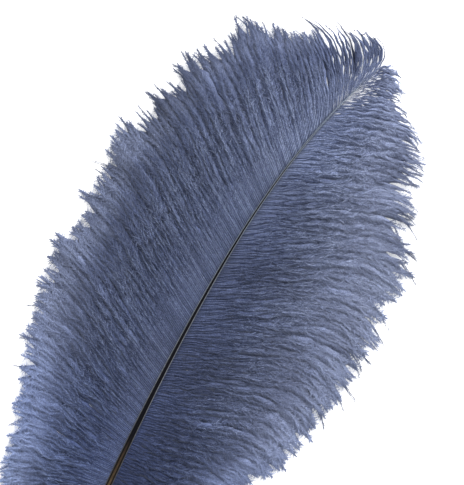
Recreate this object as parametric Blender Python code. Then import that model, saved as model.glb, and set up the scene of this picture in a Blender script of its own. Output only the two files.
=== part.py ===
"""Ostrich feather, lying convex side up on a flat surface.

The whole feather grew as one piece, so it is one solid: a shaft, which is the bare quill at one end and thins to
a hair at the other, and the barbs along both its sides, which cling together in locks. The shaft arches, and each
lock leaves it nearly level and droops until its tip lies on the surface.

Seen from above, with the tip away from the viewer, +Y runs from the quill to the tip, +X is to the right and
+Z is up. The origin is under the quill, where it lies on the surface.
"""

import bisect
import math
import random

import bmesh
import bpy
from mathutils import Matrix, Vector

MM = 0.001

# The shaft
SHAFT_LENGTH = 400 * MM
QUILL_LYING = 40 * MM  # how much of the quill lies flat on the surface
QUILL_END = -20 * MM  # along +Y, so that the origin is under the middle of what lies flat
QUILL_SIDES = 8
STATION_STEP = 5 * MM
# Distance along the shaft from the quill's end, against the shaft's radius
SHAFT_RADIUS = [(0, 0.9 * MM), (6 * MM, 1.8 * MM), (14 * MM, 2.1 * MM), (40 * MM, 2.1 * MM), (110 * MM, 1.9 * MM),
                (200 * MM, 1.2 * MM), (290 * MM, 0.75 * MM), (400 * MM, 0.4 * MM)]
# ... and against the way that it points: degrees to the right of +Y, and degrees above level
SHAFT_HEADING = [(0, -10.5), (110 * MM, -8), (255 * MM, -2.5), (345 * MM, 7), (400 * MM, 16)]
SHAFT_CLIMB = [(0, 0), (40 * MM, 0), (75 * MM, 15.5), (215 * MM, 0), (330 * MM, -9.5), (400 * MM, -21)]

# The vane, which is all the locks of barbs. Each list gives a value by distance along the shaft.
VANE_START = 46 * MM
VANE_END = 397 * MM
LOCKS_A_SIDE = 36
LEFT, RIGHT = -1, 1
# How long the barbs are, seen from above
BARB_LENGTH = {
    LEFT: [(46 * MM, 34 * MM), (75 * MM, 50 * MM), (105 * MM, 65 * MM), (118 * MM, 69 * MM),
           (128 * MM, 69.5 * MM), (140 * MM, 81 * MM), (156 * MM, 91 * MM), (172 * MM, 99 * MM),
           (180 * MM, 101.5 * MM), (192 * MM, 97 * MM), (206 * MM, 100 * MM), (220 * MM, 103 * MM),
           (228 * MM, 100 * MM), (240 * MM, 107 * MM), (252 * MM, 102 * MM), (260 * MM, 100 * MM),
           (268 * MM, 97 * MM), (276 * MM, 98.5 * MM), (284 * MM, 95.5 * MM), (296 * MM, 98 * MM),
           (304 * MM, 94 * MM), (312 * MM, 89 * MM), (324 * MM, 88 * MM), (330 * MM, 86 * MM),
           (336 * MM, 78 * MM), (348 * MM, 65 * MM), (360 * MM, 56 * MM), (372 * MM, 48 * MM),
           (384 * MM, 39 * MM), (400 * MM, 26 * MM)],
    RIGHT: [(46 * MM, 32 * MM), (75 * MM, 46 * MM), (105 * MM, 61 * MM), (136 * MM, 76 * MM),
            (148 * MM, 85 * MM), (160 * MM, 94.5 * MM), (172 * MM, 98.5 * MM), (184 * MM, 103 * MM),
            (200 * MM, 108 * MM), (216 * MM, 111.5 * MM), (228 * MM, 109 * MM), (244 * MM, 110 * MM),
            (256 * MM, 111.5 * MM), (266 * MM, 109 * MM), (276 * MM, 100.5 * MM), (288 * MM, 95 * MM),
            (300 * MM, 92 * MM), (312 * MM, 82 * MM), (324 * MM, 81 * MM), (336 * MM, 77 * MM),
            (348 * MM, 67 * MM), (360 * MM, 59 * MM), (372 * MM, 47 * MM), (380 * MM, 36 * MM),
            (390 * MM, 27 * MM), (400 * MM, 19 * MM)],
}
# Degrees between a barb's root and the way the shaft points: nearly straight out by the quill, forward at the tip
ROOT_ANGLE = {
    LEFT: [(46 * MM, 128), (90 * MM, 116), (120 * MM, 90), (145 * MM, 74), (180 * MM, 64), (300 * MM, 60),
           (345 * MM, 50), (375 * MM, 36), (400 * MM, 4)],
    RIGHT: [(46 * MM, 122), (90 * MM, 104), (130 * MM, 87), (180 * MM, 69), (243 * MM, 58), (320 * MM, 50),
            (375 * MM, 43), (390 * MM, 30), (400 * MM, -2)],
}
# Degrees that a barb bends by its tip, back towards the quill
BARB_BEND = {
    LEFT: [(46 * MM, 10), (110 * MM, -4), (150 * MM, -16), (300 * MM, -12), (340 * MM, 6), (370 * MM, 42),
           (400 * MM, 95)],
    RIGHT: [(46 * MM, 6), (130 * MM, 0), (180 * MM, 34), (243 * MM, 24), (300 * MM, 20), (350 * MM, 34),
            (375 * MM, 42), (390 * MM, 62), (400 * MM, 105)],
}
BEND_POWER = 1.8  # the bend gathers towards the barb's tip
# Degrees that a barb's outer half turns back further, which spreads the vane's edge
FLARE = {
    LEFT: [(46 * MM, 0), (95 * MM, 14), (125 * MM, 30), (200 * MM, 32), (260 * MM, 28), (300 * MM, 18),
           (345 * MM, 0), (400 * MM, 0)],
    RIGHT: [(46 * MM, 0), (200 * MM, 6), (280 * MM, 6), (400 * MM, 0)],
}
PATH_STEPS = 24

# A lock, as shares of the barbs' length
ROWS_A_SIDE = 8
ROW_CROWDING = 1.2  # over 1, the rows are closer together towards the locks' tips
CLINGING = 1 - (1 - 6 / ROWS_A_SIDE) ** ROW_CROWDING  # as far out as the sixth row, locks cling to each other
TIP_WIDTH = 0.3  # a lock's width at its tip, as a share of its full width
LENGTH_SPREAD = 0.055
SWAY = 3.0  # degrees that a free tip leans to one side
ROOT_THICKNESS, MIDDLE_THICKNESS, TIP_THICKNESS = 1.2 * MM, 4.2 * MM, 1.0 * MM
RIDGE = 1.1 * MM  # a lock's middle stands this far above its edges' mean, and its edges as far below
ROOT_SINK = 0.2 * MM  # the vane's top at the shaft, below the shaft's middle line
CROWN = 3.5 * MM  # how far the barbs rise above a plain droop, halfway out
DROOP_POWER = 2.1
SEED = 7


def through(knots, at):
    """The value at a place on a smooth curve through (place, value) pairs."""
    places = [place for place, _ in knots]
    k = min(max(bisect.bisect_right(places, at) - 1, 0), len(knots) - 2)
    (a, va), (b, vb) = knots[k], knots[k + 1]
    share = min(max((at - a) / (b - a), 0), 1)

    def slope(i):
        (before, v_before), (after, v_after) = knots[max(i - 1, 0)], knots[min(i + 1, len(knots) - 1)]
        return (v_after - v_before) / (after - before) * (b - a)

    s2, s3 = share**2, share**3
    rising, falling = 3 * s2 - 2 * s3, 1 - 3 * s2 + 2 * s3
    return falling * va + rising * vb + (s3 - 2 * s2 + share) * slope(k) + (s3 - s2) * slope(k + 1)


def smooth_rise(x, low, high):
    t = min(max((x - low) / (high - low), 0), 1)
    return t * t * (3 - 2 * t)


def pointing(heading, climb=0.0):
    """The unit vector that many degrees to the right of +Y and above level."""
    h, c = math.radians(heading), math.radians(climb)
    return Vector((math.sin(h) * math.cos(c), math.cos(h) * math.cos(c), math.sin(c)))


def climb_at(s):
    """The shaft lies level on the surface before it arches."""
    return 0.0 if s <= QUILL_LYING else through(SHAFT_CLIMB, s)


def shaft_line():
    """Points of the shaft's middle line, one for each millimetre."""
    flat_radius = max(r for _, r in SHAFT_RADIUS) * math.cos(math.pi / QUILL_SIDES)
    heading = pointing(SHAFT_HEADING[0][1])
    points = [Vector((0, 0, flat_radius)) + heading * QUILL_END]
    for k in range(round(SHAFT_LENGTH / MM)):
        s = (k + 0.5) * MM
        turned = SHAFT_HEADING[0][1] if s <= QUILL_LYING else through(SHAFT_HEADING, s)
        points.append(points[-1] + pointing(turned, climb_at(s)) * MM)
    return points


SHAFT_LINE = shaft_line()


def shaft_point(s):
    k = min(int(s / MM), len(SHAFT_LINE) - 2)
    return SHAFT_LINE[k].lerp(SHAFT_LINE[k + 1], s / MM - k)


def barb_point(side, s, out, reach, sway=0.0):
    """Where the barb that grows at s is, that share of its length out, with its reach and sway at the tip."""
    length = through(BARB_LENGTH[side], s)
    angle = through(SHAFT_HEADING, s) + side * through(ROOT_ANGLE[side], s)
    bend = side * through(BARB_BEND[side], s) + sway
    flare = side * through(FLARE[side], s)
    place = shaft_point(s)
    step = out * length * reach / PATH_STEPS
    for k in range(PATH_STEPS):
        gone = (k + 0.5) / PATH_STEPS * out
        turned = bend * gone**BEND_POWER + flare * smooth_rise(gone, 0.5, 1.0)
        place = place + pointing(angle + turned) * step
    shoulder = place.z - ROOT_SINK
    droop = TIP_THICKNESS + (shoulder - TIP_THICKNESS) * (1 - out**DROOP_POWER)
    crown = min(CROWN, 0.35 * shoulder) * 4 * out * (1 - out)
    place.z = droop + crown
    return place


def thickness_at(out):
    if out < 0.5:
        return ROOT_THICKNESS + (MIDDLE_THICKNESS - ROOT_THICKNESS) * math.sin(out * math.pi)
    return TIP_THICKNESS + (MIDDLE_THICKNESS - TIP_THICKNESS) * math.sin(out * math.pi) ** 0.7


def material(name, colour, roughness):
    made = bpy.data.materials.new(name)
    made.use_nodes = True
    shader = made.node_tree.nodes["Principled BSDF"]
    shader.inputs["Base Color"].default_value = (*colour, 1)
    shader.inputs["Roughness"].default_value = roughness
    shader.inputs["Metallic"].default_value = 0.0
    made.diffuse_color = (*colour, 1)
    return made


def new_object(name, shape, finish):
    bmesh.ops.recalc_face_normals(shape, faces=shape.faces)
    mesh = bpy.data.meshes.new(name)
    shape.to_mesh(mesh)
    shape.free()
    mesh.materials.append(finish)
    mesh.shade_smooth()
    mesh.set_sharp_from_angle(angle=math.radians(40))
    obj = bpy.data.objects.new(name, mesh)
    bpy.context.scene.collection.objects.link(obj)
    return obj


def make_shaft():
    """A round rod with a flat side down, extruded from the quill's end ring by ring along the shaft's line."""
    stations = [0, 6 * MM]
    while stations[-1] < SHAFT_LENGTH - STATION_STEP:
        stations.append(stations[-1] + STATION_STEP)
    shape = bmesh.new()
    half_side = Matrix.Rotation(math.pi / QUILL_SIDES, 4, "Z")
    bmesh.ops.create_circle(shape, cap_ends=True, segments=QUILL_SIDES, radius=1, matrix=half_side)
    corner = shape.verts.layers.float_vector.new("corner")
    for v in shape.verts:
        v[corner] = v.co
    cap, ring = shape.faces[:], shape.verts[:]
    for s in stations:
        if s > stations[0]:
            extruded = bmesh.ops.extrude_face_region(shape, geom=cap)["geom"]
            if s > stations[1]:
                bmesh.ops.delete(shape, geom=cap, context="FACES_ONLY")
            cap = [e for e in extruded if isinstance(e, bmesh.types.BMFace)]
            ring = [e for e in extruded if isinstance(e, bmesh.types.BMVert)]
        ahead, behind = shaft_point(min(s + MM, SHAFT_LENGTH)), shaft_point(max(s - MM, 0))
        along = (ahead - behind).normalized()
        across = along.cross(Vector((0, 0, 1))).normalized()
        up = across.cross(along)
        for v in ring:
            v.co = shaft_point(s) + (across * v[corner].x + up * v[corner].y) * through(SHAFT_RADIUS, s)
    return new_object("feather", shape, material("shaft_brown", (0.035, 0.022, 0.016), 0.35))


def make_vane():
    """A sheet with two columns and a ridge for each lock, slit between the locks' free ends and extruded downwards."""
    chance = random.Random(SEED)
    shape = bmesh.new()
    bmesh.ops.create_grid(shape, x_segments=2 * LOCKS_A_SIDE, y_segments=2 * ROWS_A_SIDE, size=1)
    for v in shape.verts:
        v.co.y = math.copysign(1 - (1 - abs(v.co.y)) ** ROW_CROWDING, v.co.y)

    def lock_line(v):
        """How many half locks up the shaft the vertex is."""
        return (v.co.x + 1) * LOCKS_A_SIDE

    def between_locks(edge):
        line = lock_line(edge.verts[0])
        along_a_barb = abs(line - lock_line(edge.verts[1])) < 0.5
        free = all(abs(v.co.y) > CLINGING - 0.01 for v in edge.verts)
        return along_a_barb and free and round(line) % 2 == 0 and not edge.is_boundary

    bmesh.ops.split_edges(shape, edges=[e for e in shape.edges if between_locks(e)])
    habits = [
        (1 + chance.uniform(-LENGTH_SPREAD, LENGTH_SPREAD), chance.uniform(-SWAY, SWAY))
        for _ in range(2 * LOCKS_A_SIDE)
    ]
    thickness = shape.verts.layers.float.new("thickness")
    placed = []
    for v in shape.verts:
        side, out = (LEFT if v.co.y < 0 else RIGHT), abs(v.co.y)
        free = max(0.0, (out - CLINGING) / (1 - CLINGING))
        centre = sum(f.calc_center_median().x for f in v.link_faces) / len(v.link_faces)
        lock = min(int((centre + 1) / 2 * LOCKS_A_SIDE), LOCKS_A_SIDE - 1)
        middle = (lock + 0.5) / LOCKS_A_SIDE
        share = middle + ((v.co.x + 1) / 2 - middle) * (1 - (1 - TIP_WIDTH) * free**1.6)
        s = VANE_START + (VANE_END - VANE_START) * share
        reach, sway = habits[lock if side == LEFT else lock + LOCKS_A_SIDE]
        on_ridge = round(lock_line(v)) % 2 == 1
        raised = (RIDGE if on_ridge else -RIDGE) * max(0.0, math.sin(math.pi * out**1.3)) ** 0.7
        v[thickness] = thickness_at(out)
        placed.append((v, barb_point(side, s, out, 1 + (reach - 1) * free, sway * free) + Vector((0, 0, raised))))
    for v, place in placed:
        v.co = place
    sheet = [*shape.verts, *shape.edges, *shape.faces]
    below = bmesh.ops.extrude_face_region(shape, geom=sheet, use_keep_orig=True)["geom"]
    for v in below:
        if isinstance(v, bmesh.types.BMVert):
            v.co.z = max(0.0, v.co.z - v[thickness])
    return new_object("vane", shape, material("dyed_barbs", (0.105, 0.125, 0.205), 0.85))


for old in list(bpy.data.objects):
    bpy.data.objects.remove(old)

feather = make_shaft()
vane = make_vane()
vane.hide_render = True
vane.display_type = "WIRE"
joined = feather.modifiers.new("barbs_grow_from_shaft", "BOOLEAN")
joined.operation = "UNION"
joined.solver = "EXACT"
joined.material_mode = "TRANSFER"
joined.object = vane
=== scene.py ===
"""The looks of the ostrich feather: its shaft and its barbs, each barb with its hairs, on a pale floor."""

import math
import random
from types import SimpleNamespace

import bmesh
import bpy
import numpy as np
from mathutils import Matrix, Vector


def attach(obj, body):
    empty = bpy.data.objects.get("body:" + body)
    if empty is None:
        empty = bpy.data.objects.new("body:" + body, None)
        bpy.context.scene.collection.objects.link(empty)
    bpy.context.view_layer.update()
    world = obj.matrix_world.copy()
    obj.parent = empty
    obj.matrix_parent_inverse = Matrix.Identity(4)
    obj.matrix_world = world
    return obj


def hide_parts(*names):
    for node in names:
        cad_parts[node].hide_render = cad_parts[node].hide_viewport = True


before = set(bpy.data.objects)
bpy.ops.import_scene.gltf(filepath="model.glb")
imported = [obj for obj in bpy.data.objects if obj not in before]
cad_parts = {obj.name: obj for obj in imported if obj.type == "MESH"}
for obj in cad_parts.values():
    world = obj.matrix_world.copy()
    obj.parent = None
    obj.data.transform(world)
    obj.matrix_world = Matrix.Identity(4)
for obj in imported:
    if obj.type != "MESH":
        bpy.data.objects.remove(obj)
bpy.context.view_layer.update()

# The shaft: one long horny rod, a bare quill at the lower end and a hair at the tip. The dye has stained it
# nearly black, and the quill shows brown through it, with a painted highlight in olive brown along its crest.
# It grew in an arch, and a pale rim runs down each side, where the barbs come out.

MM = 0.001


def along_shaft(*pairs, unit=1):
    """Pairs of a place, given in millimetres from the quill's end, and a value, given in that unit."""
    return [(place * MM, value * unit) for place, value in pairs]


SHAFT_LENGTH = 400 * MM
QUILL_LYING = 40 * MM  # the stretch that lies on the floor
QUILL_END = -20 * MM
QUILL_HEIGHT = 2.1 * MM * math.cos(math.pi / 8)  # the solid quill lies on one of its eight sides
SHAFT_RADIUS = along_shaft((0, 0.8), (6, 1.6), (14, 1.9), (40, 1.9), (110, 1.65), (150, 1.45), (180, 1.2),
                           (215, 0.95), (245, 0.8), (290, 0.56), (330, 0.41), (360, 0.28), (400, 0.15),
                           unit=MM)
# In degrees: how far it heads to the right of +Y, and how steeply it climbs
SHAFT_HEADING = along_shaft((0, -10.5), (110, -8), (255, -2.5), (345, 7), (400, 16))
SHAFT_CLIMB = along_shaft((0, 0), (40, 0), (75, 15.5), (215, 0), (330, -9.5), (400, -21))
SHAFT_SIDES = 16
SHAFT_STATIONS = [0.3 * MM, 1.2 * MM, 3 * MM, 6 * MM, *np.arange(10, 398, 4) * MM, 399 * MM]
SAME_PLACE = 1e-9  # corners that are closer together than this are at the same place


def through(knots, at):
    """The values at places on a smooth curve through (place, value) pairs."""
    x, v = np.array(knots, float).T
    rise = np.empty_like(v)
    rise[1:-1] = (v[2:] - v[:-2]) / (x[2:] - x[:-2])
    rise[[0, -1]] = (v[1] - v[0]) / (x[1] - x[0]), (v[-1] - v[-2]) / (x[-1] - x[-2])
    k = np.clip(np.searchsorted(x, at, side="right") - 1, 0, len(x) - 2)
    gap = x[k + 1] - x[k]
    t = np.clip((at - x[k]) / gap, 0, 1)
    t2, t3 = t**2, t**3
    ends = (1 - 3 * t2 + 2 * t3) * v[k] + (3 * t2 - 2 * t3) * v[k + 1]
    return ends + ((t3 - 2 * t2 + t) * rise[k] + (t3 - t2) * rise[k + 1]) * gap


def headings(s):
    """Which way the shaft heads at those distances from the quill's end."""
    return np.where(s <= QUILL_LYING, SHAFT_HEADING[0][1], through(SHAFT_HEADING, s))


def shaft_places():
    """Points of the shaft's middle line, one for each millimetre."""
    s = (np.arange(round(SHAFT_LENGTH / MM)) + 0.5) * MM
    turned = np.radians(headings(s))
    climb = np.radians(np.where(s <= QUILL_LYING, 0, through(SHAFT_CLIMB, s)))
    steps = np.stack([np.sin(turned) * np.cos(climb), np.cos(turned) * np.cos(climb), np.sin(climb)], axis=1)
    first = math.radians(SHAFT_HEADING[0][1])
    start = np.array([math.sin(first) * QUILL_END, math.cos(first) * QUILL_END, QUILL_HEIGHT])
    return np.vstack([start, start + np.cumsum(steps * MM, axis=0)])


SHAFT_PLACES = shaft_places()


def shaft_point(s):
    """Points on the middle line at those distances from the quill's end."""
    measured = np.arange(len(SHAFT_PLACES)) * MM
    return np.stack([np.interp(s, measured, line) for line in SHAFT_PLACES.T], axis=-1)


def shaft_radius_at(s):
    return float(through(SHAFT_RADIUS, s))


def grow_rod(shape, sides, stations, radius_at, aside=0.0, above=0.0):
    """Extrudes a disc, ring by ring, along the shaft's line or a line that many radii aside and above."""
    crest = shape.verts.layers.float.get("crest") or shape.verts.layers.float.new("crest")
    ring = bmesh.ops.create_circle(shape, cap_ends=True, segments=sides, radius=1)["verts"]
    corners = [v.co.copy() for v in ring]
    cap = [f for f in ring[0].link_faces if len(f.verts) == sides]
    for count, s in enumerate(stations):
        if count:
            extruded = bmesh.ops.extrude_face_region(shape, geom=cap)["geom"]
            if count > 1:
                bmesh.ops.delete(shape, geom=cap, context="FACES_ONLY")
            cap = [e for e in extruded if isinstance(e, bmesh.types.BMFace)]
            # The new ring still lies on the last one, whose order its corners are put in
            ring = list(cap[0].verts)
            start = min(range(sides), key=lambda i: (ring[i].co - last[0]).length)
            turn = 1 if (ring[(start + 1) % sides].co - last[1]).length < SAME_PLACE else -1
            ring = [ring[(start + turn * i) % sides] for i in range(sides)]
        along = (Vector(shaft_point(s + MM)) - Vector(shaft_point(s - MM))).normalized()
        across = along.cross(Vector((0, 0, 1))).normalized()
        up = across.cross(along)
        centre = Vector(shaft_point(s)) + (across * aside + up * above) * shaft_radius_at(s)
        for v, corner in zip(ring, corners, strict=True):
            v.co = centre + (across * corner.x + up * corner.y) * radius_at(s)
            v[crest] = corner.y  # 1 along the top and -1 underneath
        last = [v.co.copy() for v in ring]


def placed(name, data):
    """A new object in the scene, with that mesh, lamp or camera."""
    obj = bpy.data.objects.new(name, data)
    bpy.context.scene.collection.objects.link(obj)
    return obj


def finished(name, shape, finish):
    """The bmesh as a smooth object in the scene, with that material."""
    bmesh.ops.recalc_face_normals(shape, faces=shape.faces)
    mesh = bpy.data.meshes.new(name)
    shape.to_mesh(mesh)
    shape.free()
    mesh.materials.append(finish)
    mesh.shade_smooth()
    return placed(name, mesh)


def new_material(name, roughness, **sockets):
    """A Principled material, its node tree and its shader, with the given sockets set."""
    made = bpy.data.materials.new(name)
    made.use_nodes = True
    shader = made.node_tree.nodes["Principled BSDF"]
    shader.inputs["Roughness"].default_value = roughness
    for socket, value in sockets.items():
        shader.inputs[socket.replace("_", " ")].default_value = value
    return made, made.node_tree, shader


def noise(tree, place, scale, detail=2.0):
    node = tree.nodes.new("ShaderNodeTexNoise")
    node.inputs["Scale"].default_value = scale
    node.inputs["Detail"].default_value = detail
    tree.links.new(place, node.inputs["Vector"])
    return node.outputs["Fac"]


def ramp(tree, source, stops, interpolation="EASE"):
    """A colour ramp on a value, with (place, colour) stops."""
    node = tree.nodes.new("ShaderNodeValToRGB")
    node.color_ramp.interpolation = interpolation
    while len(node.color_ramp.elements) < len(stops):
        node.color_ramp.elements.new(1.0)
    for element, (place, colour) in zip(node.color_ramp.elements, stops, strict=True):
        element.position = place
        element.color = (*colour, 1)
    tree.links.new(source, node.inputs["Fac"])
    return node.outputs["Color"]


def blend(tree, factor, first, second, kind="MIX"):
    """One colour blended with another, by a number or by a socket."""
    node = tree.nodes.new("ShaderNodeMix")
    node.data_type = "RGBA"
    node.blend_type = kind
    if isinstance(factor, float):
        node.inputs["Factor"].default_value = factor
    else:
        tree.links.new(factor, node.inputs["Factor"])
    tree.links.new(first, node.inputs["A"])
    tree.links.new(second, node.inputs["B"])
    return node.outputs["Result"]


def share_of_length(tree, place):
    """How far along the feather's length a place is: 0 at the quill's end and 1 near the tip."""
    split = tree.nodes.new("ShaderNodeSeparateXYZ")
    tree.links.new(place, split.inputs[0])
    along = tree.nodes.new("ShaderNodeMapRange")
    along.inputs["From Min"].default_value = QUILL_END
    along.inputs["From Max"].default_value = QUILL_END + SHAFT_LENGTH
    tree.links.new(split.outputs["Y"], along.inputs["Value"])
    return along.outputs[0]


def dyed_horn_with_highlight():
    """Black where the dye took, brown at the quill, and a painted highlight in olive along the quill's crest.
    """
    made, tree, shader = new_material("dyed_horn_with_highlight", 0.5, Specular_IOR_Level=0.06)
    place = tree.nodes.new("ShaderNodeTexCoord").outputs["Object"]
    stretched = tree.nodes.new("ShaderNodeMapping")
    stretched.inputs["Scale"].default_value = (2600, 60, 2600)
    tree.links.new(place, stretched.inputs[0])
    grain = noise(tree, stretched.outputs[0], 1.0, 4.0)
    along = share_of_length(tree, place)
    dark, faded = (0.003, 0.003, 0.005), (0.08, 0.10, 0.14)
    stained = ramp(tree, along, [(0.0, (0.06, 0.045, 0.03)), (0.2, (0.018, 0.013, 0.011)), (0.35, dark),
                                 (0.76, dark), (0.94, faded)])
    olive = ramp(tree, along, [(0.0, (0.26, 0.20, 0.12)), (0.26, (0.085, 0.06, 0.033)),
                               (0.31, (0.04, 0.027, 0.017)), (0.35, dark), (0.76, dark), (0.94, faded)])
    # The painted highlight: olive along the top of the rod near the quill, and as dark as the rest beyond it
    crest = tree.nodes.new("ShaderNodeAttribute")
    crest.attribute_name = "crest"
    crest_highlight = ramp(tree, crest.outputs["Fac"], [(0.86, (0, 0, 0)), (0.985, (1, 1, 1))])
    streaks = ramp(tree, grain, [(0.3, (0.45, 0.45, 0.45)), (0.7, (1.3, 1.25, 1.2))])
    colour = blend(tree, 0.7, blend(tree, crest_highlight, stained, olive), streaks, "MULTIPLY")
    tree.links.new(colour, shader.inputs["Base Color"])
    bump = tree.nodes.new("ShaderNodeBump")
    bump.inputs["Strength"].default_value = 0.25
    bump.inputs["Distance"].default_value = 0.1 * MM
    tree.links.new(grain, bump.inputs["Height"])
    tree.links.new(bump.outputs[0], shader.inputs["Normal"])
    return made


def make_shaft():
    shape = bmesh.new()
    grow_rod(shape, SHAFT_SIDES, SHAFT_STATIONS, shaft_radius_at)
    return finished("shaft", shape, dyed_horn_with_highlight())


shaft = make_shaft()
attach(shaft, "root")

# The rims: a thin, paler ledge down each side of the shaft, of the same horn. The barbs' roots stand side by
# side on it, and the dye takes less there.

RIM_STATIONS = np.arange(44, 394, 5) * MM
RIM_SIDES = 6
RIM_ASIDE, RIM_ABOVE = 1.05, 0.5  # in radii of the shaft


def rim_radius_at(s):
    return 0.08 * MM + 0.1 * shaft_radius_at(s)


def pale_rim():
    made, tree, shader = new_material("pale_rim", 0.6)
    place = tree.nodes.new("ShaderNodeTexCoord").outputs["Object"]
    uneven = ramp(tree, noise(tree, place, 700.0), [(0.3, (0.75, 0.75, 0.75)), (0.7, (1.25, 1.25, 1.25))])
    pale = ramp(tree, share_of_length(tree, place), [(0.0, (0.10, 0.085, 0.07)), (0.3, (0.06, 0.06, 0.065)),
                                                     (0.45, (0.15, 0.16, 0.185)), (0.75, (0.17, 0.195, 0.24)),
                                                     (1.0, (0.09, 0.12, 0.17))])
    tree.links.new(blend(tree, 1.0, pale, uneven, "MULTIPLY"), shader.inputs["Base Color"])
    return made


def make_rims():
    shape = bmesh.new()
    for aside in (-RIM_ASIDE, RIM_ASIDE):
        grow_rod(shape, RIM_SIDES, RIM_STATIONS, rim_radius_at, aside=aside, above=RIM_ABOVE)
    return finished("shaft_rims", shape, pale_rim())


rims = make_rims()
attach(rims, "root")

# The barbs: some three hundred limp stems a side, each with two rows of fine hairs. They leave the shaft side
# by side, droop to the surface and cling together in locks, and they end in soft points. They are dyed slate
# blue, darker deep down between the locks by painted shade, and paler where they thin out at the edge, by
# painted light that shines through them.

VANE_START, VANE_END = 46 * MM, 398 * MM
LEFT, RIGHT = -1, 1
BARB_LENGTH = {
    LEFT: along_shaft((46, 34), (75, 50), (105, 65), (118, 68), (128, 72), (140, 82.5), (156, 91.5),
                      (172, 99), (180, 101.5), (192, 97), (206, 100), (220, 103), (228, 100), (240, 107),
                      (252, 102), (260, 100), (268, 97), (276, 98.5), (284, 95.5), (296, 100), (304, 95),
                      (312, 91), (324, 89.5), (330, 87), (336, 78), (348, 65), (360, 56), (372, 48),
                      (384, 39), (400, 26), unit=MM),
    RIGHT: along_shaft((46, 32), (75, 46), (105, 57.5), (136, 72), (148, 84), (160, 91.5), (172, 95),
                       (184, 101.5), (200, 107), (216, 109.5), (228, 109), (244, 110), (256, 111.5),
                       (266, 109), (276, 100.5), (288, 95), (300, 92), (312, 82), (324, 81), (336, 77),
                       (348, 67), (360, 59), (372, 47), (380, 36), (390, 27), (400, 19), unit=MM),
}
ROOT_ANGLE = {  # how far the barbs turn from the shaft's heading where they leave it, in degrees
    LEFT: along_shaft((46, 128), (90, 116), (120, 90), (145, 74), (180, 64), (300, 60), (345, 50), (375, 36),
                      (400, -8)),
    RIGHT: along_shaft((46, 122), (90, 104), (130, 87), (180, 69), (243, 58), (320, 50), (375, 43), (390, 28),
                       (400, -26)),
}
BARB_BEND = {  # how far they bend on from there to their ends
    LEFT: along_shaft((46, 10), (110, -4), (150, -16), (300, -12), (340, 6), (370, 42), (400, 115)),
    RIGHT: along_shaft((46, 6), (130, -8), (180, 12), (243, 14), (300, 20), (350, 34), (375, 42), (390, 62),
                       (400, 125)),
}
BEND_POWER = 1.8  # 1 would bend them evenly, and more bends them most at their ends
FLARE = {  # how far the last half of the barbs turns back from the tip besides
    LEFT: along_shaft((46, 0), (95, 14), (125, 30), (200, 32), (260, 28), (300, 18), (345, 0), (400, 0)),
    RIGHT: along_shaft((46, 0), (90, 8), (130, 28), (180, 40), (215, 34), (243, 22), (290, 6), (400, 0)),
}
TUFTING = {  # how much the locks end in tufts, from not at all, 0, to pointed ones, 1
    LEFT: along_shaft((46, 0.2), (230, 0.3), (290, 0.6), (335, 0.5), (400, 0.2)),
    RIGHT: along_shaft((46, 0.2), (250, 0.3), (285, 0.8), (345, 0.9), (400, 0.9)),
}
# How far painted light, shining through the barbs where they thin out, pales them, by share of their length:
# those of the feather's lower and of its upper half
BACKLIGHT_PALLOR = {
    LEFT: ([(0, 0.05), (0.35, 0.02), (0.5, 0.1), (0.66, 0.45), (0.8, 0.95), (1, 1)],
           [(0, 0.05), (0.35, 0.0), (0.57, 0.0), (0.73, 0.03), (0.86, 0.15), (1, 0.32)]),
    RIGHT: ([(0, 0), (0.25, 0.03), (0.5, 0.05), (0.68, 0.28), (0.8, 0.84), (0.88, 1), (1, 1)],
            [(0, 0), (0.25, 0.02), (0.5, 0.17), (0.72, 0.44), (0.87, 0.78), (1, 0.9)]),
}
# What else differs between the sides. The left barbs lie sleeker near the shaft, and the right ones are
# ruffled from their roots on. The pairs are the shares of a barb's length between which a thing comes in or
# fades out.
WAYS = {
    LEFT: SimpleNamespace(
        seed=21, tuft_cling=0.2, fine_ripple=0.2 * MM, rippled=(0.03, 0.35), drifting=(0.03, 0.4),
        felt_spread=1.4, weave=0.85, haze=0.6, end_evenness=0.8, end_evened=(0.5, 0.76), root_evenness=0.3,
        felt_evenness=0.1, streak=0.14, streaked=(0.12, 0.4)),
    RIGHT: SimpleNamespace(
        seed=22, tuft_cling=0.1, fine_ripple=0.3 * MM, rippled=(0.0, 0.14), drifting=(0.0, 0.18),
        felt_spread=1.1, weave=1, haze=1, end_evenness=0.72, end_evened=(0.52, 0.78), root_evenness=0.65,
        felt_evenness=0.2, streak=0.05, streaked=(0.25, 0.55)),
}
LAYERS = 3  # neighbouring barbs lie in different layers, which run over each other at slight angles
# The waves in which the layers run: how far aside, how long along the shaft, and how many in a barb's length
DRIFTS = [(1.05 * MM, 31 * MM, 1.2), (0.7 * MM, 17 * MM, -2.3), (0.42 * MM, 9.5 * MM, 3.9)]
LAYER_SLANT = 0.3  # by its number times this a layer's waves slant more, but layer 1's slant the other way
LAYER_PHASE = 2.4  # by its number times this, in radians, they run ahead
LAYER_RISE = 0.12  # how many millimetres the widest drift lifts a layer over its neighbours
LOCK_WAVE, RIPPLE = 0.25 * MM, 0.38 * MM  # sideways, of all a lock's barbs at once and of each for itself
WEAVE = 0.28 * MM  # up and down
ROOT_RISE, TIP_HEIGHT = 0.3, 0.9 * MM  # the first is a share of the shaft's radius
CROWN = 3.5 * MM  # how far the barbs arch above a plain droop,
CROWN_SHARE = 0.35  # but no further than this share of the height that they droop from
DROOP_POWER = 2.1  # more than 1, so that they droop ever more steeply
DOME, DOME_SUNK = 0.7 * MM, 1.1 * MM  # a lock's roundness, and how far it lies below the net of the vane
UNDER_SUNK = 0.6 * MM  # how far the under barbs lie below the others
FELT_SUNK = 0.7 * MM  # how far the felt sinks near the barbs' ends, where it spreads to fill the vane
LOWEST, FLOOR_EASE = 0.5 * MM, 0.8 * MM  # barbs come to rest softly just above the floor
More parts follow.
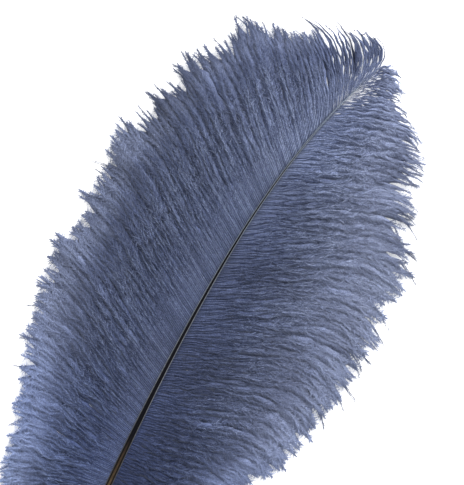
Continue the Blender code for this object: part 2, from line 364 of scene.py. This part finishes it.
CURL_WIDTH = 6 * MM  # how far a barb's end may curl aside
MEAN_SHADE = 0.4  # which barbs and hairs come to where they are evened out
SHORT_BARB = 70 * MM  # barbs that are shorter than this are slighter too

# How many neighbours cling together, at least and at most. A barb is in one strand and in two locks.
STRAND_OF, LOCK_OF, SECOND_LOCK_OF = (2, 4), (4, 11), (3, 14)
# The shares of the barbs that lie under the others, that stray, and that make the left fringe of the tip
UNDER_SHARE, STRAY_SHARE, FRINGE_SHARE = 0.35, 0.06, 0.3
CREST_SHARE = 0.33  # of the locks, whose barbs reach past their neighbours
NEAR_TIP = (345, 385)  # millimetres along the shaft, between which the barbs become those of the tip
# The gaps between barbs are evened out there along their length and, by that weight, at their roots
EVEN_AT, ROOT_WEIGHT = 0.7, 1.2
LEAST_HALF_WIDTH = 0.5 * MM  # of a lock, at the shaft

PATTERNS = 13  # different barbs, which take turns along the shaft
ROUNDS = 8  # turns in one piece
PIECES_A_SIDE = 3
BARBS_A_PIECE = PATTERNS * ROUNDS
BARBS_A_SIDE = BARBS_A_PIECE * PIECES_A_SIDE
PATTERN_LENGTH = 100 * MM
STEM_ROOT, STEM_TIP = 0.25 * MM, 0.08 * MM
STEM_SIDES, STEM_CUTS = 3, 22
FELT_WIDTH, FELT_FLATNESS = 3.6 * MM, 0.12  # the downy strip that a barb's lowest hairs make, under its stem
FELT_DEPTH = 0.7 * MM
FELT_SIDES, FELT_CUTS = 4, 15
HAIRS = 325
HAIR_LENGTH = (1.9 * MM, 5 * MM)
HAIR_RADIUS = (0.11 * MM, 0.19 * MM)
HAIR_ROOT_HEIGHT = 0.1 * MM  # how far above or below the stem's middle a hair may start
CLOSE_SHARE = 0.68  # of the hairs, which lie close to the stem
CLOSE_SPREAD, WIDE_SPREAD = (5, 19), (19, 40)  # degrees from the stem
END_FROM, END_SPREAD = 0.86, 1.7  # from there on along a barb, its hairs spread that much more


def rises(x, low, high):
    """0 up to the low end, 1 from the high end, and a smooth rise between."""
    t = np.clip((x - low) / (high - low), 0, 1)
    return t * t * (3 - 2 * t)


def falls(x, low, high):
    return 1 - rises(x, low, high)


def beyond(s, low, high):
    """Rises from 0 to 1 between two places along the shaft, in millimetres."""
    return rises(s, low * MM, high * MM)


def short_of(s, low, high):
    return 1 - beyond(s, low, high)


def add_rod(shape, sides, radii, cuts, matrix):
    """A straight rod of PATTERN_LENGTH with rings of vertices along it, which are returned."""
    ends = bmesh.ops.create_cone(shape, cap_ends=True, segments=sides, radius1=radii[0], radius2=radii[1],
                                 depth=PATTERN_LENGTH, matrix=matrix)["verts"]
    lengthwise = {e for v in ends for e in v.link_edges if e.calc_length() > PATTERN_LENGTH / 2}
    bmesh.ops.subdivide_edges(shape, edges=list(lengthwise), cuts=cuts)
    shape.verts.ensure_lookup_table()
    return shape.verts[-sides * (cuts + 2):]


def make_patterns():
    """The different barbs, straight along +X and a metre apart along Y, as one mesh."""
    chance = random.Random(11)
    shape = bmesh.new()
    shade = shape.verts.layers.float.new("shade")
    felt = shape.verts.layers.float.new("felt")
    lying = Matrix.Rotation(math.pi / 2, 4, "Y")
    flattened = Matrix.Diagonal((FELT_FLATNESS, 1, 1, 1))
    for row in range(PATTERNS):
        # The stem, lightest at its root
        middle = Matrix.Translation((PATTERN_LENGTH / 2, row, 0))
        for v in add_rod(shape, STEM_SIDES, (STEM_ROOT, STEM_TIP), STEM_CUTS, middle @ lying):
            v[shade] = 0.84 - 0.16 * rises(v.co.x / PATTERN_LENGTH, 0.1, 0.3)
        # The felt: a strip with uneven edges, narrower at its root and drawn in at its end. It is dark, and
        # darkest at its root, by painted shade, as it lies deep under the stem
        under = Matrix.Translation((PATTERN_LENGTH / 2, row, -FELT_DEPTH)) @ lying @ flattened
        for v in add_rod(shape, FELT_SIDES, (FELT_WIDTH / 2, FELT_WIDTH / 2), FELT_CUTS, under):
            at = v.co.x / PATTERN_LENGTH
            full = (0.55 + 0.45 * rises(at, 0.05, 0.35)) * (1 - 0.93 * rises(at, 0.78, 0.99))
            v[shade] = 0.15 + 0.22 * rises(at, 0.05, 0.3) + chance.uniform(-0.13, 0.13)
            v[felt] = 1
            v.co.y = row + (v.co.y - row) * chance.uniform(0.7, 1.3) * full
        # The hairs, to the left and right in turn, and shorter near the root
        for k in range(HAIRS):
            at = 0.04 + 0.94 * ((k + chance.random()) / HAIRS) ** 0.87
            fullness = min(1.0, at / 0.22) * (1 - 0.2 * float(rises(at, 0.88, 1.0)))
            close = chance.random() < CLOSE_SHARE
            length = chance.uniform(*HAIR_LENGTH) * (0.15 + 0.85 * fullness)
            spread = math.radians(chance.uniform(*(CLOSE_SPREAD if close else WIDE_SPREAD)))
            if at > END_FROM:
                spread *= END_SPREAD
            climb = math.radians(chance.gauss(-3, 7))
            way = 1 if k % 2 else -1
            radius = chance.uniform(*HAIR_RADIUS)
            turned = Matrix.Rotation(way * spread, 4, "Z") @ Matrix.Rotation(-climb, 4, "Y") @ lying
            root = Vector((at * PATTERN_LENGTH, row, chance.uniform(-1, 1) * HAIR_ROOT_HEIGHT))
            ahead = turned @ Vector((0, 0, length / 2))
            roll = Matrix.Rotation(chance.uniform(0, 2), 4, "Z")
            there = Matrix.Translation(root + ahead) @ turned @ roll
            hair = bmesh.ops.create_cone(shape, cap_ends=True, segments=3, radius1=radius, radius2=0,
                                         depth=length, matrix=there)["verts"]
            # Painted shade: hairs that dip are darker and those that rise lighter, and wide ones a little
            # darker, besides a random tone
            tone = 0.47 + 1.2 * math.sin(climb) - 0.2 * math.sin(spread) + chance.gauss(0, 0.33)
            for v in hair:
                v[shade] = min(1.0, max(0.0, tone))
    mesh = bpy.data.meshes.new("patterns")
    shape.to_mesh(mesh)
    shape.free()
    return mesh


def unit(v):
    return v / np.maximum(np.linalg.norm(v, axis=-1, keepdims=True), 1e-12)


class Vane:
    """Where one side's barbs run: a net of points by place along the shaft and share of a barb's length."""

    # The net's steps along the shaft and along the barbs, how far it reaches along these, and where it starts
    ROOT_STEPS, OUT_STEPS, MOST_OUT = 360, 60, 1.25
    NET_START = VANE_START - 6 * MM

    def __init__(self, side):
        self.side = side
        self.s = np.linspace(self.NET_START, SHAFT_LENGTH, self.ROOT_STEPS)
        self.out = np.linspace(0, self.MOST_OUT, self.OUT_STEPS + 1)
        step = self.MOST_OUT / self.OUT_STEPS
        gone = (np.arange(self.OUT_STEPS) + 0.5) * step
        self.length = through(BARB_LENGTH[side], self.s)
        root = headings(self.s) + side * through(ROOT_ANGLE[side], self.s)
        bend = side * through(BARB_BEND[side], self.s)
        flare = side * through(FLARE[side], self.s)
        turned = bend[:, None] * gone**BEND_POWER + flare[:, None] * rises(gone, 0.5, 1.0)
        angle = np.radians(root[:, None] + turned)
        steps = np.stack([np.sin(angle), np.cos(angle)], axis=-1) * (self.length * step)[:, None, None]
        starts = shaft_point(self.s)
        walked = np.concatenate([np.zeros((len(self.s), 1, 2)), np.cumsum(steps, axis=1)], axis=1)
        plan = starts[:, None, :2] + walked
        shoulder = (starts[:, 2] + ROOT_RISE * through(SHAFT_RADIUS, self.s))[:, None]
        out = np.minimum(self.out, 1.0)
        droop = TIP_HEIGHT + (shoulder - TIP_HEIGHT) * (1 - out**DROOP_POWER)
        crown = np.minimum(CROWN, CROWN_SHARE * shoulder) * 4 * out * (1 - out)
        self.net = np.concatenate([plan, (droop + crown)[..., None]], axis=2)

    def at(self, s, out):
        """Points of the net, and there the way across a barb and up."""
        i = np.clip((s - self.s[0]) / (self.s[1] - self.s[0]), 0, len(self.s) - 1.001)
        j = np.clip(out / self.out[1], 0, self.OUT_STEPS - 0.001)
        a, b = i.astype(int), j.astype(int)
        p, q = (i - a)[:, None], (j - b)[:, None]
        n00, n01, n10, n11 = self.net[a, b], self.net[a, b + 1], self.net[a + 1, b], self.net[a + 1, b + 1]
        place = (n00 * (1 - q) + n01 * q) * (1 - p) + (n10 * (1 - q) + n11 * q) * p
        along = unit((n01 - n00) * (1 - p) + (n11 - n10) * p)
        up = unit(self.side * np.cross(along, (n10 - n00) * (1 - q) + (n11 - n01) * q))
        return place, np.cross(up, along), up


def locks(chance, roots, least, most):
    """Groups of neighbouring barbs: each barb's group's middle, its own offset and its group's number."""
    middle, offset, group = np.empty(len(roots)), np.empty(len(roots)), np.empty(len(roots), int)
    first, number = 0, 0
    while first < len(roots):
        last = min(first + chance.randint(least, most), len(roots))
        here = roots[first:last]
        middle[first:last] = here.mean()
        offset[first:last] = (here - here.mean()) / max(np.ptp(here) / 2, LEAST_HALF_WIDTH)
        group[first:last] = number
        first, number = last, number + 1
    return middle, offset, group


def spaced_roots(vane):
    """Where the barbs leave the shaft, between evenly there and evenly where they have spread out."""
    places = np.linspace(VANE_START, VANE_END, 500)
    partway = vane.at(places, np.full(len(places), EVEN_AT))[0]
    room = np.linalg.norm(np.diff(partway, axis=0), axis=1) + ROOT_WEIGHT * np.diff(places)
    room = np.concatenate([[0], np.cumsum(room)])
    return np.interp((np.arange(BARBS_A_SIDE) + 0.5) / BARBS_A_SIDE * room[-1], room, places)


def barbs_of(side, vane):
    """Each barb's habits: where it grows, what it clings to, how far it reaches, and how it strays."""
    chance = random.Random(WAYS[side].seed)
    left, right = side == LEFT, side == RIGHT

    def drawn(group, low, high):
        """A random number for each group, given to each of its barbs."""
        return np.array([chance.uniform(low, high) for _ in range(group.max() + 1)])[group]

    def some(odds):
        """1 for the barbs that are picked, at those odds, and 0 for the others."""
        return np.array([float(chance.random() < odd) for odd in odds])

    # The lines from here on draw their random numbers in turn, so they keep their order
    roots = spaced_roots(vane)
    strand, _, strands = locks(chance, roots, *STRAND_OF)
    lock, in_lock, lock_of = locks(chance, roots, *LOCK_OF)
    each = np.arange(BARBS_A_SIDE)
    under = some(np.full(BARBS_A_SIDE, UNDER_SHARE))
    near_tip = beyond(roots, *NEAR_TIP)
    tufting = through(TUFTING[side], roots)
    # The upper right edge is ragged and torn. Both upper edges are lacy, and the lower right one a little
    ragged = beyond(roots, 225, 290) * short_of(roots, 375, 390) * right
    torn = beyond(roots, 240, 295) * right
    if right:
        lacy = beyond(roots, 295, 322) * short_of(roots, 384, 396)
        lacy = lacy + 0.15 * beyond(roots, 80, 110) * short_of(roots, 225, 245)
    else:
        lacy = 0.8 * beyond(roots, 235, 265) * short_of(roots, 340, 355)
    rare = each * 7 % 5 < 2
    hairy = 0.05 * short_of(roots, 225, 250) * right
    lone = some(0.01 + 1.4 * hairy + 0.08 * tufting + 0.12 * ragged)
    stray = some(np.full(BARBS_A_SIDE, STRAY_SHARE)) * short_of(roots, 300, 345)
    second, in_second, second_of = locks(chance, roots, *SECOND_LOCK_OF)
    fringe = some(FRINGE_SHARE * near_tip * left)
    spiky = beyond(roots, 180, 215) * left
    crest = (drawn(second_of, 0, 1) < CREST_SHARE) * (1 - (1.7 + spiky) * np.abs(in_second)) * (1 - near_tip)
    crest = crest * (1 + 0.5 * spiky)
    parting_again = drawn(second_of, 0.45, 0.95)
    parted_again = drawn(second_of, 0.04, 0.1)
    reach = (0.993 + tufting * (drawn(lock_of, -0.03, 0.03) - 0.03 * in_lock**2) + drawn(each, -0.035, 0.025)
             + 0.065 * lone + 0.045 * crest + near_tip * drawn(each, -0.1, 0.1) + 0.28 * fringe
             + lacy * ((0.055 * rare - 0.015) * (1 - torn) - 0.17 * torn * rare * (1 - lone)))
    raggedness = drawn(each, 0.2, 1)
    curl = drawn(each, -1, 1) ** 3 - side * lone * drawn(each, 0.2, 1.3)
    bared = np.maximum(fringe, drawn(each, 0, 1) * short_of(roots, 374, 390))
    # Sway is in degrees and lift in millimetres
    sway = (drawn(lock_of, -0.9, 0.9) + drawn(each, -2.1, 2.1) + stray * drawn(each, -5.5, 5.5)
            + under * drawn(each, -1.5, 1.5) + near_tip * drawn(each, -6, 6))
    lift = drawn(lock_of, -0.1, 0.1) + drawn(strands, -0.1, 0.1) + drawn(each, -0.17, 0.17) + 0.3 * stray
    tone = drawn(lock_of, -0.035, 0.035) + drawn(strands, -0.03, 0.03) + drawn(each, -0.07, 0.07)
    # The under barbs are darker by painted shade, as they lie below the others
    tone = tone - 0.10 * under
    streak = drawn(each, -1, 1) + drawn(strands, -0.4, 0.4)
    # Partings between locks, which the shades darken with painted shade, and a ridge across each lock, which
    # raises one side and paints it lighter and the other side darker
    parting = drawn(lock_of, 0.3, 0.8)
    parted = drawn(lock_of, 0.05, 0.15)
    depth = drawn(lock_of, 0, 1.2) ** 1.5
    ridge = drawn(lock_of, -0.03, 0.05) * in_lock
    wave = drawn(lock_of, 0, 6.28)
    ripple = drawn(each, 0, 6.28)
    return {
        "root": roots, "strand": strand, "lock": lock, "second": second, "layer": each % LAYERS,
        "under": under, "near_tip": near_tip, "tufting": tufting, "ragged": ragged, "torn": torn,
        "lacy": lacy, "lone": lone, "stray": stray, "in_lock": in_lock, "reach": reach,
        "outermost": (in_lock < -0.9).astype(float), "parting": parting, "parted": parted,
        "outermost_again": (in_second < -0.9).astype(float), "parting_again": parting_again,
        "parted_again": parted_again, "depth": depth, "raggedness": raggedness, "curl": curl,
        "bared": bared, "sway": sway, "lift": lift, "tone": tone, "streak": streak, "ridge": ridge,
        "wave": wave, "ripple": ripple,
    }


class Laying:
    """How the points of one side's barbs come to lie, and how dark and how pale they are there.

    Each point is known by its share of its barb's length, from where it is on the straight pattern, and by
    the habits of its barb.
    """

    def __init__(self, side, points, felt, first):
        row = np.rint(points[:, 1]).astype(int)
        self.side, self.ways, self.felt = side, WAYS[side], felt
        self.vane = Vane(side)
        barbs = barbs_of(side, self.vane)
        self.habit = habit = SimpleNamespace(**{name: values[first + row] for name, values in barbs.items()})
        self.out, self.aside, self.above = points[:, 0] / PATTERN_LENGTH, points[:, 1] - row, points[:, 2]
        out, root = self.out, habit.root
        # Where the left barbs are combed, their waves are smaller and their partings deeper
        self.combed = beyond(root, 150, 215) * (side == LEFT)
        self.body = rises(out, 0.0, 0.4) * (1 - 0.75 * rises(out, 0.75, 1.05))
        self.split = rises(out + 0.14 * habit.torn, 0.8, 0.97)
        self.bare = self.bareness()
        # The felt spreads to fill the vane near the barbs' ends, but not towards the feather's tip
        filling = rises(out, 0.8, 0.88) * falls(out, 0.91, 0.985) * (1 - habit.ragged)
        self.filling = filling * short_of(root, 275, 300)
        self.drift, self.over_others = self.layer_waves()
        # A barb's ripple is a random angle, and so is any multiple of it
        weave = np.sin(7 * habit.ripple + 31 * out) * rises(out, 0.0, 0.11) * (1 - habit.near_tip)
        self.weave = weave * self.ways.weave * falls(out, 0.75, 0.9) * (1 - 0.4 * self.combed)
        parting = habit.depth * habit.outermost * np.exp(-(((out - habit.parting) / habit.parted) ** 2))
        again = np.exp(-(((out - habit.parting_again) / habit.parted_again) ** 2))
        parting = parting + 0.8 * habit.depth * habit.outermost_again * again
        self.parting = parting * (1.2 + 0.65 * self.combed)
        self.last = rises(out, 0.9, 1.0) * (0.5 + 0.5 * np.sin(37 * habit.ripple))

    def bareness(self):
        """How far the hairs are drawn in to their stem, at the tip, on lone barbs and along torn edges."""
        habit, out = self.habit, self.out
        bare = np.maximum(habit.near_tip * habit.bared * rises(out, 0.35, 0.75),
                          0.8 * habit.lone * rises(out, 0.75, 0.95))
        bare = np.maximum(bare, habit.lacy * (0.6 + 0.4 * habit.raggedness) * self.split)
        if self.side == RIGHT:
            bare = np.maximum(bare, habit.ragged * habit.raggedness * rises(out, 0.72, 0.86))
        return bare

    def layer_waves(self):
        """How far the layers drift aside, and how far each rises over the others there."""
        habit = self.habit
        drift, over_others = 0.0, 0.0
        for most, wide, turns in DRIFTS:
            slant = np.where(habit.layer == 1, -turns, turns * (1 + LAYER_SLANT * habit.layer))
            turns_there = habit.root / wide + slant * self.out
            phase = 2 * math.pi * turns_there + LAYER_PHASE * habit.layer + self.side
            free = (1 - habit.near_tip) * (0.35 + 0.65 * beyond(habit.root, 70, 130))
            drift = drift + most * np.sin(phase) * free
            over_others = over_others + LAYER_RISE * np.cos(phase) * most / DRIFTS[0][0]
        return drift, over_others

    def clung(self):
        """The place along the shaft that each point follows, as the barbs cling to their neighbours."""
        habit, out = self.habit, self.out
        s = habit.root
        for middle, most, low, high in ((habit.strand, 0.15, 0.08, 0.45),
                                        (habit.lock, 0.15 * falls(out, 0.5, 0.75), 0.2, 0.4),
                                        (habit.second, self.ways.tuft_cling * habit.tufting, 0.7, 1.0)):
            cling = most * rises(out, low, high) * (1 - 0.8 * habit.near_tip)
            cling = cling * (1 - 0.85 * habit.under) * (1 - 0.6 * self.felt)
            s = s + (middle - s) * cling
        return s + (habit.strand - s) * 0.6 * habit.lacy * self.split

    def sideways(self):
        """How far each point lies from its barb's line, by its width and the barb's sway, waves and drift."""
        habit, out, felt, ways = self.habit, self.out, self.felt, self.ways
        length = np.interp(habit.root, self.vane.s, self.vane.length)
        slight = np.minimum(1.0, length / SHORT_BARB) * (1 - 0.55 * habit.near_tip)
        drooping = habit.curl * CURL_WIDTH
        if self.side == RIGHT:  # the tip's barbs spread, and the ragged edge's ends turn back
            slight = slight * (1 + habit.near_tip * rises(out, 0.3, 0.6))
            drooping = drooping + habit.ragged * (9 * habit.raggedness - 7 + 2 * habit.lacy) * MM
        stray = np.radians(habit.sway) * out**2 * length * 0.6 + drooping * rises(out, 0.84, 1.04) * slight
        wave = LOCK_WAVE * np.sin(habit.wave + out * 11) * rises(out, 0.05, 0.5)
        ripple = RIPPLE * np.sin(habit.ripple + out * 27)
        ripple = ripple + ways.fine_ripple * np.sin(habit.ripple * 3 + out * 70)
        wave = (wave + ripple * rises(out, *ways.rippled)) * (1 - 0.3 * self.combed)
        narrow = 0.28 + 0.13 * rises(out, 0.35, 0.5) * falls(out, 0.74, 0.86)
        narrow = narrow * felt * (1 - habit.under) * rises(out, 0.2, 0.4) * (1 - habit.near_tip)
        fluff = 1 + 0.7 * rises(out, 0.3, 0.7)
        wide = slight * fluff * (1 + 0.7 * habit.under) * (1 - 0.8 * self.bare) * (1 - narrow)
        wide = wide * (1 + 0.7 * felt * short_of(habit.root, 75, 110))
        wide = wide * (1 + ways.felt_spread * felt * self.filling * (1 - habit.stray) * (1 - habit.lone))
        drift = self.drift * (1 - 0.6 * felt) * rises(out, *ways.drifting) * (1 - 0.55 * self.combed)
        return self.aside * wide + stray + wave + drift

    def raised(self):
        """How far each point lies above the net of the vane."""
        habit, body = self.habit, self.body
        dome = DOME * (1 - 0.3 * habit.in_lock**2 + 3 * habit.ridge - 1.5 * self.parting) - DOME_SUNK
        lifted = (dome + (habit.lift + self.over_others) * MM - UNDER_SUNK * habit.under) * body
        above = self.above * (0.5 + 0.5 * body) - FELT_SUNK * self.felt * self.filling + lifted
        return above + WEAVE * self.weave

    def places(self):
        """Where each point lies in the end, kept softly above the floor."""
        habit, out = self.habit, self.out
        reach = out * (1 + (habit.reach - 1) * np.clip(out, 0, 1))
        place, across, up = self.vane.at(self.clung(), reach)
        place = place + across * self.sideways()[:, None] + up * self.raised()[:, None]
        z = place[:, 2] - LOWEST
        place[:, 2] = LOWEST * 0.4 + 0.5 * (z + np.sqrt(z * z + FLOOR_EASE**2))
        return place

    def slope(self):
        """How much lighter or darker than usual the barbs are in each part of the feather."""
        habit, out, root, ways = self.habit, self.out, self.habit.root, self.ways
        rooted = falls(out, 0.25, 0.55)
        # Lighter at the tip and, towards it, near the shaft, where the barbs are also streaked
        slope = 0.15 * rooted * beyond(root, 245, 350) + 0.12 * habit.near_tip
        slope = slope + ways.streak * habit.streak * falls(out, *ways.streaked)
        if self.side == RIGHT:  # darker low down, and most of all near the shaft
            # Painted shade: darker towards the quill, away from the light, and most of all beside the shaft,
            # where its shadow falls on this side
            slope = slope - 0.05 * short_of(root, 115, 155) * falls(out, 0.65, 0.85)
            slope = slope - 0.06 * short_of(root, 180, 215) * rises(out, 0.3, 0.45) * falls(out, 0.72, 0.92)
            return slope - 0.09 * short_of(root, 170, 270) - 0.09 * rooted * short_of(root, 250, 310)
        # A little darker near the shaft, lighter low down, and most of all at the ends there
        slope = slope - 0.04 * rooted * short_of(root, 200, 260) + 0.085 * short_of(root, 105, 175)
        slope = slope + 0.3 * short_of(root, 115, 150) * rises(out, 0.6, 0.8)
        return slope + 0.08 * rises(out, 0.8, 0.88) * short_of(root, 260, 300)

    def shades(self, own):
        """How light each point is, from its own shade on the pattern and from what the barb does there, much
        of it painted light and shade.
        """
        habit, out, ways = self.habit, self.out, self.ways
        hazy = rises(out, 0.58, 0.74) * short_of(habit.root, 210, 250) * ways.haze
        even = ways.end_evenness * rises(out, *ways.end_evened) + 0.18 * hazy
        at_root = (ways.root_evenness + ways.felt_evenness * self.felt) * falls(out, 0.1, 0.4)
        even = even + at_root * (1 - habit.near_tip)
        parting = self.parting * (1 - 0.7 * rises(out, 0.6, 0.8)) * (1 - 0.75 * hazy)
        tone = own + (MEAN_SHADE - own) * even + habit.tone * (1 + 0.45 * self.combed) * (1 - even)
        tone = tone + self.slope()
        # Painted light and shade: each lock lighter on one side and darker on the other, layers that lie over
        # the others lighter, and stray barbs a little lighter
        tone = tone + (habit.ridge + 0.1 * habit.stray + 0.15 * self.over_others) * self.body
        # Painted shade: barbs darker where they weave down, and much darker in the partings between locks
        tone = tone + 0.08 * self.weave * (1 - even) - (0.46 + 0.12 * self.combed) * parting
        return np.clip(tone - 0.15 * self.bare * (1 - 0.35 * habit.lacy) - 0.2 * self.last, 0, 1)

    def painted_backlights(self):
        """How far each point is paled by painted light that shines through the thin barbs."""
        habit, out, felt = self.habit, self.out, self.felt
        lower, upper = (through(law, np.clip(out, 0, 1)) for law in BACKLIGHT_PALLOR[self.side])
        backlit_pallor = lower + (upper - lower) * beyond(habit.root, 105, 205)
        if self.side == LEFT:
            darker = beyond(habit.root, 250, 285)
            edge = (0.17 - 0.06 * felt) * rises(out, 0.74, 0.86) * (1 - 0.6 * darker)
            backlit_pallor = np.minimum(1, backlit_pallor * (1 - 0.4 * darker) + edge)
        backlit_pallor = backlit_pallor * (1 - felt * (0.17 * rises(out, 0.45, 0.6) + 0.1 * self.filling))
        return backlit_pallor * (1 - 0.8 * self.bare * (1 - 0.35 * habit.lacy)) * (1 - 0.3 * self.last)


def read_points(mesh, values, name, size=1):
    read = np.empty(len(mesh.vertices) * size, np.float32)
    values.foreach_get(name, read)
    return read


def laid_out(mesh, side, first):
    """Moves the mesh's barbs, which stand a metre apart, to their places on the feather, and shades them."""
    points = read_points(mesh, mesh.vertices, "co", 3).reshape(-1, 3).astype(float)
    felt = read_points(mesh, mesh.attributes["felt"].data, "value")
    mesh.attributes.remove(mesh.attributes["felt"])
    laying = Laying(side, points, felt, first)
    mesh.vertices.foreach_set("co", laying.places().astype(np.float32).ravel())
    shades = laying.shades(read_points(mesh, mesh.attributes["shade"].data, "value"))
    mesh.attributes["shade"].data.foreach_set("value", shades.astype(np.float32))
    # The "thin" attribute holds the painted light that shines through the thin barbs
    backlight_layer = mesh.attributes.new("thin", "FLOAT", "POINT")
    backlight_layer.data.foreach_set("value", laying.painted_backlights().astype(np.float32))
    mesh.update()


def dyed_barbs():
    """Slate blue, lighter or darker by the points' shades, which hold painted light and shade, paler by
    painted light shining through where the barbs thin out, and a little uneven all over.
    """
    made, tree, shader = new_material("dyed_barbs", 0.7, Specular_IOR_Level=0.25, Sheen_Weight=0.12,
                                      Sheen_Roughness=0.4, Sheen_Tint=(0.75, 0.82, 1.0, 1))

    def attribute(name):
        node = tree.nodes.new("ShaderNodeAttribute")
        node.attribute_name = name
        return node.outputs["Fac"]

    shade = attribute("shade")
    body = ramp(tree, shade, [(0.0, (0.018, 0.027, 0.065)), (0.35, (0.0525, 0.0705, 0.15)),
                              (0.65, (0.115, 0.145, 0.262)), (1.0, (0.225, 0.270, 0.415))], "LINEAR")
    edge = ramp(tree, shade, [(0.0, (0.27, 0.32, 0.50)), (1.0, (0.48, 0.54, 0.75))], "LINEAR")
    place = tree.nodes.new("ShaderNodeTexCoord").outputs["Object"]
    uneven = ramp(tree, noise(tree, place, 32.0), [(0.3, (0.86, 0.86, 0.88)), (0.7, (1.1, 1.1, 1.1))])
    crinkle = noise(tree, place, 1800.0, 1.0)
    flecks = ramp(tree, crinkle, [(0.3, (0.65, 0.65, 0.68)), (0.7, (1.35, 1.35, 1.33))])
    along = share_of_length(tree, place)
    # Lighter towards the tip: partly the dye fading there, and partly painted light that falls off towards
    # the quill
    dye_fade_and_light_falloff = ramp(tree, along, [(0.1, (0.575, 0.63, 0.705)), (0.3, (0.635, 0.705, 0.84)),
                                (0.45, (0.775, 0.79, 0.81)), (0.75, (0.83, 0.83, 0.805)),
                                (1.0, (1.03, 1.02, 0.98))], "LINEAR")
    # Paler by the "thin" attribute: painted light that shines through the thin barb ends
    dyed = blend(tree, attribute("thin"), body, edge)
    for factor in (uneven, dye_fade_and_light_falloff, flecks):
        dyed = blend(tree, 1.0, dyed, factor, "MULTIPLY")
    tree.links.new(dyed, shader.inputs["Base Color"])
    return made


def make_barbs(name, side, first, patterns, finish):
    """One stretch of one side's barbs: the patterns in turn, copied by an Array and laid out."""
    start = placed(name, patterns)
    copies = start.modifiers.new("rounds", "ARRAY")
    copies.count = ROUNDS
    copies.use_relative_offset = False
    copies.use_constant_offset = True
    copies.constant_offset_displace = (0, PATTERNS, 0)
    mesh = bpy.data.meshes.new_from_object(start.evaluated_get(bpy.context.evaluated_depsgraph_get()))
    bpy.data.objects.remove(start)
    laid_out(mesh, side, first)
    mesh.name = name
    mesh.materials.clear()
    mesh.materials.append(finish)
    mesh.shade_smooth()
    return placed(name, mesh)


patterns = make_patterns()
barb_finish = dyed_barbs()
for side, side_name in ((LEFT, "left"), (RIGHT, "right")):
    for number, stretch in enumerate(("lower", "middle", "upper")):
        name = f"{side_name}_barbs_{stretch}"
        piece = make_barbs(name, side, number * BARBS_A_PIECE, patterns, barb_finish)
        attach(piece, "root")
        if name == "left_barbs_middle":  # one of them says that they take the solid feather's place
            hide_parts("feather")
bpy.data.meshes.remove(patterns)

# The stage: a white floor, a broad soft lamp above it behind the tip, and white light from all round.

FLOOR_SIDE = 6.0
LAMP_PLACE, LAMP_SIDE, LAMP_WATTS = (0.04, 1.0, 0.5), 0.6, 15
FEATHER_MIDDLE = (0.0, 0.2, 0.0)
WHITE = (1, 1, 1, 1)


def white_floor():
    made, _, shader = new_material("white_floor", 0.9)
    shader.inputs["Base Color"].default_value = (0.9, 0.9, 0.9, 1)
    shader.inputs["Emission Color"].default_value = WHITE
    shader.inputs["Emission Strength"].default_value = 0.5
    return made


shape = bmesh.new()
bmesh.ops.create_grid(shape, x_segments=1, y_segments=1, size=FLOOR_SIDE / 2)
floor = finished("floor", shape, white_floor())

key = bpy.data.lights.new("key", "AREA")
key.energy = LAMP_WATTS
key.size = LAMP_SIDE
lamp = placed("key", key)
lamp.location = LAMP_PLACE
lamp.visible_camera = False
lamp.rotation_euler = (Vector(FEATHER_MIDDLE) - Vector(LAMP_PLACE)).to_track_quat("-Z", "Y").to_euler()

world = bpy.data.worlds.new("studio")
world.use_nodes = True
world.node_tree.nodes["Background"].inputs["Color"].default_value = WHITE
world.node_tree.nodes["Background"].inputs["Strength"].default_value = 1.0
bpy.context.scene.world = world
bpy.context.scene.view_settings.view_transform = "Standard"

# The camera: straight above the feather, turned so that the shaft rises to the right, with the quill out of
# view.

CAMERA_HEIGHT = 0.95  # above the feather's mean height
MEAN_HEIGHT = 0.015
VIEW_WIDTH, VIEW_HEIGHT = 464, 485  # pixels
PIXEL = 0.5812 * MM  # at the mean height
SHAFT_LEAVES = Vector((109, 484))  # the pixel where the shaft meets the picture's lower edge
SHAFT_LEAVES_AT = 110 * MM  # how far that is from the quill's end
ROLL = math.radians(33)

camera_data = bpy.data.cameras.new("from_above")
camera = placed("from_above", camera_data)
bpy.context.scene.camera = camera
right = Vector((math.cos(ROLL), math.sin(ROLL)))
upwards = Vector((-math.sin(ROLL), math.cos(ROLL)))
leaving = Vector(shaft_point(SHAFT_LEAVES_AT)).xy
to_centre = right * (VIEW_WIDTH / 2 - SHAFT_LEAVES.x) + upwards * (SHAFT_LEAVES.y - VIEW_HEIGHT / 2)
centre = leaving + to_centre * PIXEL
camera.location = (centre.x, centre.y, CAMERA_HEIGHT + MEAN_HEIGHT)
camera.rotation_euler = (0, 0, ROLL)
camera_data.sensor_fit = "VERTICAL"
camera_data.angle = 2 * math.atan(VIEW_HEIGHT * PIXEL / 2 / CAMERA_HEIGHT)
